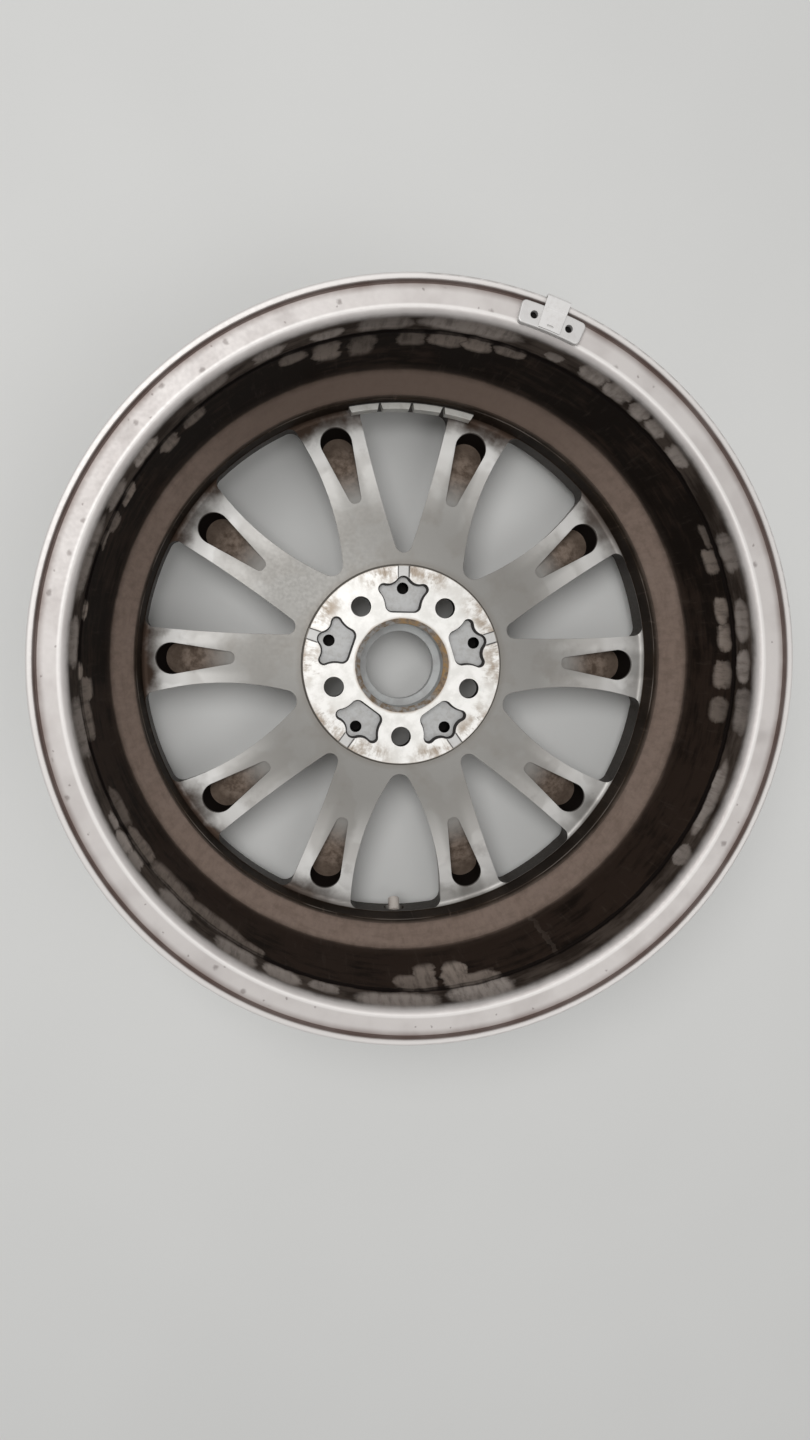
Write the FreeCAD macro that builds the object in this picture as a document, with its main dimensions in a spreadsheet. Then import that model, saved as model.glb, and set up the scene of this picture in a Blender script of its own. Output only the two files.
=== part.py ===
import FreeCAD, Part
import math
import operator
import os

import Sketcher
from FreeCAD import Placement, Rotation, Vector

# A cast alloy car wheel, lying face down, with its balance weights and its tyre valve.
# The axis of the wheel is Z. The side that faces the car is up, and z = 0 is the pad that
# bolts against the hub. Lengths are millimetres, angles are degrees.

SIZES = {
    # Rim contour that carries the tyre
    "seat_diameter": 462.0,
    "rim_width": 190.5,
    "wheel_offset": 40.0,
    "flange_height": 17.3,
    "flange_width": 12.5,
    "tip_width": 6.0,
    "tip_round": 1.7,
    "heel_round": 6.5,
    "seat_width": 21.0,
    "seat_drop": 1.4,
    "hump_height": 1.0,
    "hump_run": 4.0,
    "barrel_wall": 5.4,
    "well_wall": 5.7,
    "well_round": 5.0,
    "well_width": 25.5,
    "valve_slope_rise": 15.0,
    "valve_slope_run": 16.0,
    # Inside of the barrel, depths counted from the upper edge
    "lip_width": 4.1,
    "groove_width": 2.4,
    "groove_depth": 3.0,
    "face_depth": 2.3,
    "face_slope": 1.1,
    "mouth_diameter": 448.4,
    "mouth_round": 5.0,
    "mouth_length": 35.5,
    "mouth_step": 0.9,
    "barrel_length": 111.2,
    "barrel_end_diameter": 439.2,
    "drop_length": 23.3,
    "turned_length": 10.0,
    "turned_step": 0.5,
    "wall_diameter": 413.6,
    # Hub
    "pad_diameter": 158.4,
    "pad_height": 3.5,
    "pad_flare": 1.5,
    "bore_diameter": 67.1,
    "bore_chamfer": 4.1,
    "bore_depth": 20.0,
    "ledge_drop": 3.0,
    "cap_diameter": 55.8,
    "cap_depth": 9.0,
    "cap_recess_diameter": 66.0,
    "cap_recess_depth": 5.0,
    "hub_thickness": 38.0,
    "hub_front_diameter": 146.0,
    # Stud holes with a conical nut seat at the front
    "stud_count": 5,
    "stud_circle": 114.3,
    "stud_hole": 16.0,
    "stud_land": 10.0,
    "nut_well": 29.0,
    "nut_seat_angle": 60.0,
    # Pockets between the stud holes
    "star_depth": 8.0,
    "star_draft": 9.0,
    "star_base_reach": 42.0,
    "star_base_spread": 8.5,
    "star_base_round": 6.0,
    "star_arm_reach": 60.6,
    "star_arm_spread": 15.7,
    "star_arm_round": 4.5,
    "star_crest_reach": 71.6,
    "star_crest_round": 6.0,
    "star_top_dip": 9.0,
    "star_side_dip": 18.0,
    "vent_width": 9.0,
    "vent_depth": 1.6,
    "core_hole": 9.4,
    "core_hole_reach": 61.6,
    "core_hole_depth": 16.0,
    # Spokes and the windows between them
    "spoke_root_depth": 20.2,
    "spoke_root_round": 4.0,
    "spoke_crown": 1400.0,
    "spoke_end_diameter": 418.0,
    "spoke_thickness": 27.0,
    "window_draft": 5.0,
    "window_ledge": 0.4,
    "window_corner": 5.0,
    "narrow_reach": 90.3,
    "narrow_tip": 6.0,
    "narrow_half_width": 33.6,
    "narrow_bow": 1100.0,
    "wide_reach": 88.8,
    "wide_tip": 8.6,
    "wide_half_width": 36.2,
    "wide_bow": 215.0,
    # Teardrop pocket in the back of each spoke, shifted towards the narrow window beside it
    "teardrop_start": 133.0,
    "teardrop_tilt": 23.0,
    "teardrop_length": 61.5,
    "teardrop_small": 5.0,
    "teardrop_large": 12.6,
    "teardrop_small_shift": 3.8,
    "teardrop_large_shift": 2.6,
    # Front lip
    "front_lip": 9.0,
    "front_lip_slope": 4.0,
    # Tyre valve
    "valve_reach": 221.6,
    "valve_tilt": 43.6,
    "valve_hole": 11.3,
    "valve_spot": 1.0,
    "valve_spot_diameter": 20.0,
    "valve_wall": 6.0,
    "valve_well_diameter": 17.0,
    "valve_well_length": 24.0,
    "stem_diameter": 7.7,
    "stem_length": 24.5,
    "stem_bore": 5.2,
    "stem_head_diameter": 17.0,
    "stem_head": 3.5,
    "grommet_flange": 2.5,
    "grommet_neck": 4.0,
    "grommet_diameter": 17.6,
    "washer_thickness": 1.2,
    "washer_diameter": 15.4,
    "nut_height": 4.6,
    "nut_flats": 11.0,
    "cap_outer": 9.4,
    "cap_length": 11.5,
    "cap_roof": 2.2,
    "valve_core_length": 9.0,
    "valve_core_diameter": 4.8,
    "fit": 0.1,
    # Stick-on balance weight
    "stick_count": 4,
    "stick_pitch": 7.05,
    "stick_first_angle": 99.3,
    "stick_length": 23.6,
    "stick_top_length": 20.6,
    "stick_thickness": 4.8,
    "stick_height": 11.0,
    "stick_depth": 153.4,
    "stick_edge": 0.7,
    "tape_thickness": 0.8,
    "tape_margin": 0.5,
    # Clip-on balance weight
    "clip_angle": 71.35,
    "clip_weight_span": 10.4,
    "clip_weight_thickness": 3.6,
    "clip_weight_width": 14.3,
    "clip_weight_round": 3.0,
    "clip_weight_edge": 0.8,
    "clip_hole": 5.0,
    "clip_hole_angle": 2.9,
    "clip_hole_reach": 234.4,
    "clip_span": 3.6,
    "clip_strip": 1.0,
    "clip_slot_length": 4.4,
    "clip_slot_width": 1.2,
    "clip_slot_margin": 2.4,
    "clip_bulge": 0.5,
    "clip_fit": 0.2,
    "clip_hook_angle": 55.0,
}

doc = FreeCAD.newDocument("alloy_wheel")
sheet = doc.addObject("Spreadsheet::Sheet", "dims")
for row, (name, number) in enumerate(SIZES.items(), start=1):
    sheet.set(f"A{row}", name)
    sheet.set(f"B{row}", str(number))
    sheet.setAlias(f"B{row}", name)
doc.recompute()


# Sizes that follow the sheet


class Size:
    """A length or angle: its present value, and the expression that keeps it bound to the sheet."""

    def __init__(self, value, text):
        self.value = value
        self.text = text

    def __add__(self, other):
        return joined(self, "+", other)

    def __sub__(self, other):
        return joined(self, "-", other)

    def __mul__(self, other):
        return joined(self, "*", other)

    def __truediv__(self, other):
        return joined(self, "/", other)

    def __neg__(self):
        return joined(ZERO, "-", self)


OPERATORS = {"+": operator.add, "-": operator.sub, "*": operator.mul, "/": operator.truediv}


def as_size(number):
    return number if isinstance(number, Size) else Size(float(number), str(number))


def joined(left, sign, right):
    left, right = as_size(left), as_size(right)
    return Size(OPERATORS[sign](left.value, right.value), f"({left.text} {sign} {right.text})")


def root(area):
    return Size(math.sqrt(area.value), f"sqrt({area.text})")


def cosine(angle):
    return Size(math.cos(math.radians(angle.value)), f"cos({angle.text})")


def sine(angle):
    return Size(math.sin(math.radians(angle.value)), f"sin({angle.text})")


class SheetSizes:
    """The sheet's cells by their names."""

    def __getattr__(self, name):
        return Size(float(getattr(sheet, name)), f"dims.{name}")


ZERO = as_size(0)
dims = SheetSizes()

# Heights and radii that several pieces share
TOP = dims.wheel_offset + dims.rim_width / 2 + dims.flange_width
BOTTOM = dims.wheel_offset - dims.rim_width / 2 - dims.flange_width
UPPER_HEEL = TOP - dims.flange_width
LOWER_HEEL = BOTTOM + dims.flange_width
SEAT_RADIUS = dims.seat_diameter / 2
TIP_RADIUS = SEAT_RADIUS + dims.flange_height
WALL_RADIUS = dims.wall_diameter / 2
WELL_RADIUS = WALL_RADIUS + dims.well_wall
PAD_FOOT_RADIUS = dims.pad_diameter / 2 + dims.pad_flare
FACE_RADIUS = TIP_RADIUS - dims.lip_width - dims.groove_width
FACE_HEIGHT = TOP - dims.face_depth
DROP_END = TOP - dims.barrel_length - dims.drop_length
WELL_TOP = DROP_END + dims.well_wall / 2
WELL_FOOT = WELL_TOP - dims.well_width


def spoke_back(reach):
    """Height of the back of the spokes at a distance from the axis."""
    run = (reach - PAD_FOOT_RADIUS) / (WALL_RADIUS - PAD_FOOT_RADIUS)
    return -dims.pad_height - run * (dims.spoke_root_depth - dims.pad_height)


def barrel_radius(height):
    """Inside radius of the barrel at a height between its mouth and the drop to the wall."""
    mouth = dims.mouth_diameter / 2 - dims.mouth_step
    mouth_end = TOP - dims.mouth_length - dims.mouth_step
    run = (mouth_end - height) / (mouth_end - TOP + dims.barrel_length)
    return mouth - run * (mouth - dims.barrel_end_diameter / 2)


# Sketches and features


def new_body(label):
    body = doc.addObject("PartDesign::Body", label)
    body.Label = label
    return body


def origin_part(body, role):
    return next(part for part in body.Origin.OriginFeatures if part.Role == role)


def new_sketch(body, name, support):
    sketch = body.newObject("Sketcher::SketchObject", name)
    sketch.AttachmentSupport = [(support, "")]
    sketch.MapMode = "FlatFace"
    return sketch


def bind(item, path, size):
    item.setExpression(path, size.text)


def constrain(sketch, size, *terms):
    """A dimension of a sketch that follows a size."""
    index = sketch.addConstraint(Sketcher.Constraint(*terms, size.value))
    sketch.setExpression(f"Constraints[{index}]", size.text)


def pin(sketch, edge, end, x, y):
    """Hold one end of an edge, or the centre of an arc, at sketch coordinates."""
    constrain(sketch, x, "DistanceX", -1, 1, edge, end)
    constrain(sketch, y, "DistanceY", -1, 1, edge, end)


def flat(x, y):
    return Vector(as_size(x).value, as_size(y).value, 0)


START, END, CENTRE = 1, 2, 3


def outline(sketch, points, bows=None):
    """A closed outline, anticlockwise.

    bows gives the radius of a curved edge: above zero it bulges outwards, and below zero it dips inwards.
    """
    bows = bows or {}
    points = [(as_size(x), as_size(y)) for x, y in points]
    ends = []
    for number, (start, end) in enumerate(zip(points, points[1:] + points[:1])):
        first, last = flat(*start), flat(*end)
        ends.append((START, END))
        if number in bows:
            chord = last - first
            outward = Vector(chord.y, -chord.x, 0).normalize()
            radius = bows[number].value
            rise = abs(radius) - math.sqrt(radius**2 - (chord.Length / 2) ** 2)
            middle = (first + last) / 2 + outward * math.copysign(rise, radius)
            sketch.addGeometry(Part.Arc(first, middle, last))
            if radius < 0:
                ends[number] = (END, START)
        else:
            sketch.addGeometry(Part.LineSegment(first, last))
    for number, (x, y) in enumerate(points):
        before = (number - 1) % len(points)
        start = ends[number][0]
        sketch.addConstraint(Sketcher.Constraint("Coincident", before, ends[before][1], number, start))
        pin(sketch, number, start, x, y)
    for number, radius in bows.items():
        constrain(sketch, -radius if radius.value < 0 else radius, "Radius", number)


def circle(sketch, x, y, radius):
    edge = sketch.addGeometry(Part.Circle(flat(x, y), Vector(0, 0, 1), radius.value))
    pin(sketch, edge, CENTRE, as_size(x), as_size(y))
    constrain(sketch, radius, "Radius", edge)


def meeting_point(first, first_reach, second, second_reach, side):
    """Where two circles cross, on the left (side 1) or the right (side -1) of the way between centres."""
    way = second - first
    along = (first_reach**2 - second_reach**2 + way.Length**2) / (2 * way.Length)
    across = math.sqrt(first_reach**2 - along**2)
    way.normalize()
    return first + way * along + Vector(-way.y, way.x, 0) * across * side


def touching_points(first, first_radius, second, second_radius, link):
    """Where a tangent link leaves one round and reaches the next, and the centre of an arc link."""
    if link is None:
        way = second - first
        lean = (first_radius - second_radius) / way.Length
        way.normalize()
        normal = way * lean + Vector(way.y, -way.x, 0) * math.sqrt(1 - lean**2)
        return first + normal * first_radius, second + normal * second_radius, None
    bow = link.value
    side = 1 if bow > 0 else -1
    centre = meeting_point(first, abs(bow - first_radius), second, abs(bow - second_radius), side)
    leave = first + (first - centre).normalize() * first_radius * side
    reach = second + (second - centre).normalize() * second_radius * side
    return leave, reach, centre


def arc(centre, radius, start, end):
    first = math.atan2(start.y - centre.y, start.x - centre.x)
    last = math.atan2(end.y - centre.y, end.x - centre.x)
    if last < first:
        last += 2 * math.pi
    return Part.ArcOfCircle(Part.Circle(centre, Vector(0, 0, 1), radius), first, last)


def belt(sketch, rounds, links):
    """A closed outline of rounds (x, y, radius), anticlockwise, each joined to the next by a tangent link.

    A link is None for a straight edge, or the radius of an arc: above zero it bulges outwards, and
    below zero it dips inwards.
    """
    count = len(rounds)
    centres = [flat(x, y) for x, y, radius in rounds]
    joints = []
    for n, link in enumerate(links):
        after = (n + 1) % count
        first, second = rounds[n][2].value, rounds[after][2].value
        joints.append(touching_points(centres[n], first, centres[after], second, link))
    for n, (x, y, radius) in enumerate(rounds):
        sketch.addGeometry(arc(centres[n], radius.value, joints[n - 1][1], joints[n][0]))
    for (leave, reach, centre), link in zip(joints, links):
        if link is None:
            sketch.addGeometry(Part.LineSegment(leave, reach))
        elif link.value > 0:
            sketch.addGeometry(arc(centre, link.value, leave, reach))
        else:
            sketch.addGeometry(arc(centre, -link.value, reach, leave))
    for n, (x, y, radius) in enumerate(rounds):
        pin(sketch, n, CENTRE, as_size(x), as_size(y))
        constrain(sketch, radius, "Radius", n)
    for n, link in enumerate(links):
        dips = link is not None and link.value < 0
        near, far = (END, START) if dips else (START, END)
        sketch.addConstraint(Sketcher.Constraint("Tangent", n, END, count + n, near))
        sketch.addConstraint(Sketcher.Constraint("Tangent", (n + 1) % count, START, count + n, far))
        if link is not None:
            constrain(sketch, -link if dips else link, "Radius", count + n)


def revolve(body, sketch, name, kind="PartDesign::Revolution", axis="V_Axis", angle=None):
    """A full turn about an axis of the sketch, or a part turn to both sides of the sketch."""
    feature = body.newObject(kind, name)
    feature.Profile = sketch
    feature.ReferenceAxis = (sketch, [axis])
    feature.Angle = 360
    if angle is not None:
        feature.Midplane = True
        bind(feature, "Angle", angle)
    doc.recompute()
    return feature


def extrude(body, sketch, name, length, kind="PartDesign::Pad", reverse=False, draft=None):
    feature = body.newObject(kind, name)
    feature.Profile = sketch
    feature.Reversed = reverse
    bind(feature, "Length", length)
    if draft is not None:
        bind(feature, "TaperAngle", draft)
    doc.recompute()
    return feature


def repeat(body, features, name, count):
    """The same cuts again, evenly round the wheel's axis."""
    pattern = body.newObject("PartDesign::PolarPattern", name)
    pattern.Originals = features
    pattern.Axis = (origin_part(body, "Z_Axis"), [""])
    pattern.Angle = 360
    bind(pattern, "Occurrences", count)
    body.Tip = pattern
    doc.recompute()
    return pattern


def dress(body, kind, name, edges, size):
    """A fillet or chamfer on edges of the body's last feature."""
    feature = body.newObject(f"PartDesign::{kind}", name)
    feature.Base = (feature.BaseFeature, edges)
    bind(feature, "Radius" if kind == "Fillet" else "Size", size)
    doc.recompute()
    return feature


def edge_names(body, wanted):
    """Names of the edges of the body's last feature that the test picks."""
    return [f"Edge{n}" for n, edge in enumerate(body.Tip.Shape.Edges, start=1) if wanted(edge)]


def ring_names(body, rings):
    """Names of the circles about the axis that run through the given points of the section."""

    def is_ring(edge):
        if not isinstance(edge.Curve, Part.Circle):
            return False
        place = Vector(edge.Curve.Radius, 0, edge.Curve.Center.z)
        return any(place.distanceToPoint(Vector(r.value, 0, z.value)) < TOUCH for r, z in rings)

    return edge_names(body, is_ring)


TOUCH = 0.01


# The casting: rim, spokes and hub in one piece


def tyre_side():
    """Section points from the lower flange, over the seats and the well, to the upper flange."""
    seat_end = SEAT_RADIUS - dims.seat_drop
    hump = seat_end + dims.hump_height
    lower_hump = LOWER_HEEL + dims.seat_width + dims.hump_run
    upper_hump = UPPER_HEEL - dims.seat_width - dims.hump_run
    barrel_start = upper_hump - dims.hump_run * 2
    return [
        (TIP_RADIUS, BOTTOM),
        (TIP_RADIUS, LOWER_HEEL),
        (SEAT_RADIUS, LOWER_HEEL),
        (seat_end, LOWER_HEEL + dims.seat_width),
        (hump, lower_hump),
        (WELL_RADIUS + dims.valve_slope_rise, WELL_FOOT - dims.valve_slope_run),
        (WELL_RADIUS, WELL_FOOT),
        (WELL_RADIUS, WELL_TOP),
        (dims.barrel_end_diameter / 2 + dims.barrel_wall, WELL_TOP + dims.drop_length),
        (barrel_radius(barrel_start) + dims.barrel_wall, barrel_start),
        (hump, upper_hump),
        (seat_end, UPPER_HEEL - dims.seat_width),
        (SEAT_RADIUS, UPPER_HEEL),
        (TIP_RADIUS, UPPER_HEEL),
        (TIP_RADIUS, TOP),
    ]


def barrel_side():
    """Section points from the upper lip down the inside of the barrel to the wall above the spokes."""
    mouth_radius = dims.mouth_diameter / 2
    mouth_end = TOP - dims.mouth_length
    turned_end = DROP_END - dims.turned_length
    return [
        (TIP_RADIUS - dims.lip_width, TOP),
        (TIP_RADIUS - dims.lip_width - dims.groove_width / 2, TOP - dims.groove_depth),
        (FACE_RADIUS, FACE_HEIGHT),
        (mouth_radius, FACE_HEIGHT - dims.face_slope),
        (mouth_radius, mouth_end),
        (mouth_radius - dims.mouth_step, mouth_end - dims.mouth_step),
        (dims.barrel_end_diameter / 2, TOP - dims.barrel_length),
        (WALL_RADIUS + dims.turned_step, DROP_END),
        (WALL_RADIUS + dims.turned_step, turned_end),
        (WALL_RADIUS, turned_end - dims.turned_step),
    ]


def spoke_root():
    """Section points where the round between the wall and the back of the spokes begins and ends."""
    fall = (dims.spoke_root_depth - dims.pad_height) / (WALL_RADIUS - PAD_FOOT_RADIUS)
    slant = root(fall * fall + 1)
    lean = fall / slant
    setback = dims.spoke_root_round * root((lean + 1) / (-lean + 1))
    return [
        (WALL_RADIUS, setback - dims.spoke_root_depth),
        (WALL_RADIUS - setback / slant, setback * lean - dims.spoke_root_depth),
    ]


def hub_and_front():
    """Section points from the pad down the bore and out along the front of the spokes to the front lip."""
    bore_radius = dims.bore_diameter / 2
    cap_radius = dims.cap_diameter / 2
    ledge_end = -dims.bore_depth - dims.ledge_drop
    recess_top = dims.cap_recess_depth - dims.hub_thickness
    lip_radius = TIP_RADIUS - dims.front_lip
    spoke_end = dims.spoke_end_diameter / 2
    return [
        (PAD_FOOT_RADIUS, -dims.pad_height),
        (dims.pad_diameter / 2, ZERO),
        (bore_radius + dims.bore_chamfer, ZERO),
        (bore_radius, -dims.bore_chamfer),
        (bore_radius, -dims.bore_depth),
        (cap_radius, ledge_end),
        (cap_radius, recess_top),
        (dims.cap_recess_diameter / 2, recess_top),
        (dims.cap_recess_diameter / 2, -dims.hub_thickness),
        (dims.hub_front_diameter / 2, -dims.hub_thickness),
        (spoke_end, -dims.spoke_root_depth - dims.spoke_thickness),
        (lip_radius - dims.front_lip_slope, BOTTOM + dims.front_lip_slope),
        (lip_radius, BOTTOM),
    ]


def cast_wheel():
    body = new_body("wheel")
    section = new_sketch(body, "wheel_section", origin_part(body, "XZ_Plane"))
    front = hub_and_front()
    sides = front + tyre_side() + barrel_side()
    crown_edge = len(front) - 4
    root_edge = len(sides)
    bows = {crown_edge: dims.spoke_crown, root_edge: -dims.spoke_root_round}
    outline(section, sides + spoke_root(), bows)
    revolve(body, section, "wheel_blank")
    round_rings(body)
    cut_windows(body)
    cut_teardrops(body)
    cut_stars(body)
    cut_stud_holes(body)
    cut_valve_hole(body)
    return body


def round_rings(body):
    """Fillets that run all the way round the rim."""
    tips = [(TIP_RADIUS, TOP), (TIP_RADIUS, BOTTOM)]
    dress(body, "Fillet", "tip_rounds", ring_names(body, tips), dims.tip_round)
    curves = [(TIP_RADIUS, UPPER_HEEL), (TIP_RADIUS, LOWER_HEEL)]
    dress(body, "Fillet", "flange_curves", ring_names(body, curves), dims.flange_width - dims.tip_width)
    heels = [(SEAT_RADIUS, UPPER_HEEL), (SEAT_RADIUS, LOWER_HEEL)]
    dress(body, "Fillet", "heel_rounds", ring_names(body, heels), dims.heel_round)
    mouth = [(dims.mouth_diameter / 2, FACE_HEIGHT - dims.face_slope)]
    dress(body, "Fillet", "mouth_round", ring_names(body, mouth), dims.mouth_round)
    well = [(WELL_RADIUS, WELL_TOP), (WELL_RADIUS, WELL_FOOT)]
    dress(body, "Fillet", "well_rounds", ring_names(body, well), dims.well_round)


def cut_window(body, name, side, reach, tip, half_width, bow):
    """One kind of window: a rounded tip near the hub, bowed sides and an end that follows the rim."""
    sketch = new_sketch(body, f"{name}_outline", origin_part(body, "XY_Plane"))
    spread = sine(dims.window_draft) / cosine(dims.window_draft)
    end_radius = WALL_RADIUS - dims.window_ledge - dims.spoke_root_depth * spread
    corner_x = half_width - dims.window_corner
    corner_reach = end_radius - dims.window_corner
    corner_y = root(corner_reach * corner_reach - corner_x * corner_x)
    rounds = [
        (ZERO, (reach + tip) * side, tip),
        (corner_x * side, corner_y * side, dims.window_corner),
        (-corner_x * side, corner_y * side, dims.window_corner),
    ]
    belt(sketch, rounds, [bow, end_radius, bow])
    depth = dims.spoke_root_depth + dims.spoke_thickness - BOTTOM
    window = extrude(body, sketch, name, depth, "PartDesign::Pocket", draft=dims.window_draft)
    repeat(body, [window], f"{name}s", dims.stud_count)


def cut_windows(body):
    cut_window(
        body, "narrow_window", 1, dims.narrow_reach, dims.narrow_tip, dims.narrow_half_width, dims.narrow_bow
    )
    cut_window(body, "wide_window", -1, dims.wide_reach, dims.wide_tip, dims.wide_half_width, dims.wide_bow)


def cut_teardrop(body, name, side):
    """A pocket in the back of a spoke on one side of the Y axis, with a floor that sinks towards the rim."""
    floor = body.newObject("PartDesign::Plane", f"{name}_floor")
    floor.AttachmentSupport = [(origin_part(body, "XY_Plane"), "")]
    floor.MapMode = "FlatFace"
    floor.AttachmentOffset = Placement(Vector(0, 0, 0), Rotation(Vector(0, 1, 0), 1))
    bind(floor, "AttachmentOffset.Base.x", dims.teardrop_start * side)
    bind(floor, "AttachmentOffset.Base.z", spoke_back(dims.teardrop_start))
    bind(floor, "AttachmentOffset.Rotation.Angle", dims.teardrop_tilt * side)
    doc.recompute()
    sketch = new_sketch(body, f"{name}_outline", floor)
    large_centre = dims.teardrop_length - dims.teardrop_large
    rounds = [
        (dims.teardrop_small * side, dims.teardrop_small_shift, dims.teardrop_small),
        (large_centre * side, dims.teardrop_large_shift, dims.teardrop_large),
    ]
    belt(sketch, rounds, [None, None])
    height = dims.teardrop_length * sine(dims.teardrop_tilt)
    teardrop = extrude(body, sketch, name, height, "PartDesign::Pocket", reverse=True)
    repeat(body, [teardrop], f"{name}s", dims.stud_count)


def cut_teardrops(body):
    cut_teardrop(body, "right_teardrop", 1)
    cut_teardrop(body, "left_teardrop", -1)


def cut_stars(body):
    """Star-shaped pockets in the pad, each with a core hole and a shallow vent to the pad's edge."""
    plane = origin_part(body, "XY_Plane")
    sketch = new_sketch(body, "star_outline", plane)
    base_y = dims.star_base_reach + dims.star_base_round
    crest_y = dims.star_crest_reach - dims.star_crest_round
    rounds = [
        (-dims.star_base_spread, base_y, dims.star_base_round),
        (dims.star_base_spread, base_y, dims.star_base_round),
        (dims.star_arm_spread, dims.star_arm_reach, dims.star_arm_round),
        (ZERO, crest_y, dims.star_crest_round),
        (-dims.star_arm_spread, dims.star_arm_reach, dims.star_arm_round),
    ]
    links = [None, -dims.star_side_dip, -dims.star_top_dip, -dims.star_top_dip, -dims.star_side_dip]
    belt(sketch, rounds, links)
    star = extrude(body, sketch, "star", dims.star_depth, "PartDesign::Pocket", draft=-dims.star_draft)
    hole_sketch = new_sketch(body, "core_hole_outline", plane)
    circle(hole_sketch, ZERO, dims.core_hole_reach, dims.core_hole / 2)
    core_depth = dims.star_depth + dims.core_hole_depth
    core_hole = extrude(body, hole_sketch, "core_hole", core_depth, "PartDesign::Pocket")
    vent_sketch = new_sketch(body, "vent_outline", plane)
    half = dims.vent_width / 2
    vent_end = PAD_FOOT_RADIUS + dims.vent_width
    outline(vent_sketch, [(-half, crest_y), (half, crest_y), (half, vent_end), (-half, vent_end)])
    vent = extrude(body, vent_sketch, "vent", dims.vent_depth, "PartDesign::Pocket")
    repeat(body, [star, core_hole, vent], "stars", dims.stud_count)


def cut_stud_holes(body):
    """Stud holes with a conical nut seat and a nut well from the front."""
    sketch = new_sketch(body, "stud_section", origin_part(body, "YZ_Plane"))
    reach = -dims.stud_circle / 2
    hole = dims.stud_hole / 2
    well = dims.nut_well / 2
    half_angle = dims.nut_seat_angle / 2
    seat_run = (well - hole) * cosine(half_angle) / sine(half_angle)
    well_top = -dims.stud_land - seat_run
    front = BOTTOM
    above = dims.stud_land
    outline(
        sketch,
        [
            (reach, front),
            (reach + well, front),
            (reach + well, well_top),
            (reach + hole, -dims.stud_land),
            (reach + hole, above),
            (reach, above),
        ],
    )
    axis = sketch.addGeometry(Part.LineSegment(flat(reach, front), flat(reach, above)), True)
    pin(sketch, axis, START, reach, front)
    pin(sketch, axis, END, reach, above)
    stud_hole = revolve(body, sketch, "stud_hole", "PartDesign::Groove", "Axis0")
    repeat(body, [stud_hole], "stud_holes", dims.stud_count)


# The tyre valve leans from the slope of the well towards the hub and the front.

VALVE_ALONG = (cosine(dims.valve_tilt), -sine(dims.valve_tilt))
VALVE_ACROSS = (sine(dims.valve_tilt), cosine(dims.valve_tilt))
VALVE_HEIGHT = WELL_FOOT - (dims.valve_reach - WELL_RADIUS) * dims.valve_slope_run / dims.valve_slope_rise


def valve_point(across, along):
    """A point in the valve's own section, in the plane of Y and Z."""
    across, along = as_size(across), as_size(along)
    y = -dims.valve_reach + along * VALVE_ALONG[0] + across * VALVE_ACROSS[0]
    z = VALVE_HEIGHT + along * VALVE_ALONG[1] + across * VALVE_ACROSS[1]
    return y, z


def cut_valve_hole(body):
    """The valve hole, with a flat spot for its seal on the tyre side and a well for its nut."""
    sketch = new_sketch(body, "valve_section", origin_part(body, "YZ_Plane"))
    spot = dims.valve_spot_diameter / 2
    hole = dims.valve_hole / 2
    well = dims.valve_well_diameter / 2
    outside = -dims.valve_spot_diameter / 4
    inner_seat = dims.valve_spot + dims.valve_wall
    end = inner_seat + dims.valve_well_length
    steps = [
        (ZERO, outside),
        (ZERO, end),
        (well, end),
        (well, inner_seat),
        (hole, inner_seat),
        (hole, dims.valve_spot),
        (spot, dims.valve_spot),
        (spot, outside),
    ]
    outline(sketch, [valve_point(*step) for step in steps])
    first, last = valve_point(ZERO, outside), valve_point(ZERO, end)
    axis = sketch.addGeometry(Part.LineSegment(flat(*first), flat(*last)), True)
    pin(sketch, axis, START, *first)
    pin(sketch, axis, END, *last)
    revolve(body, sketch, "valve_hole", "PartDesign::Groove", "Axis0")


def place_on_valve(body):
    body.Placement = Placement(Vector(0, 0, 0), Rotation(Vector(1, 0, 0), -1))
    bind(body, "Placement.Base.y", -dims.valve_reach)
    bind(body, "Placement.Base.z", VALVE_HEIGHT)
    bind(body, "Placement.Rotation.Angle", -dims.valve_tilt - 90)
    doc.recompute()
    return body


def valve_turning(label, points):
    """A turned piece of the valve. Its section gives radius and distance along the valve."""
    body = new_body(label)
    sketch = new_sketch(body, f"{label}_section", origin_part(body, "XZ_Plane"))
    outline(sketch, points)
    revolve(body, sketch, f"{label}_turned")
    return place_on_valve(body)


def ring_section(inner, outer, low, high):
    return [(inner, low), (outer, low), (outer, high), (inner, high)]


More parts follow.
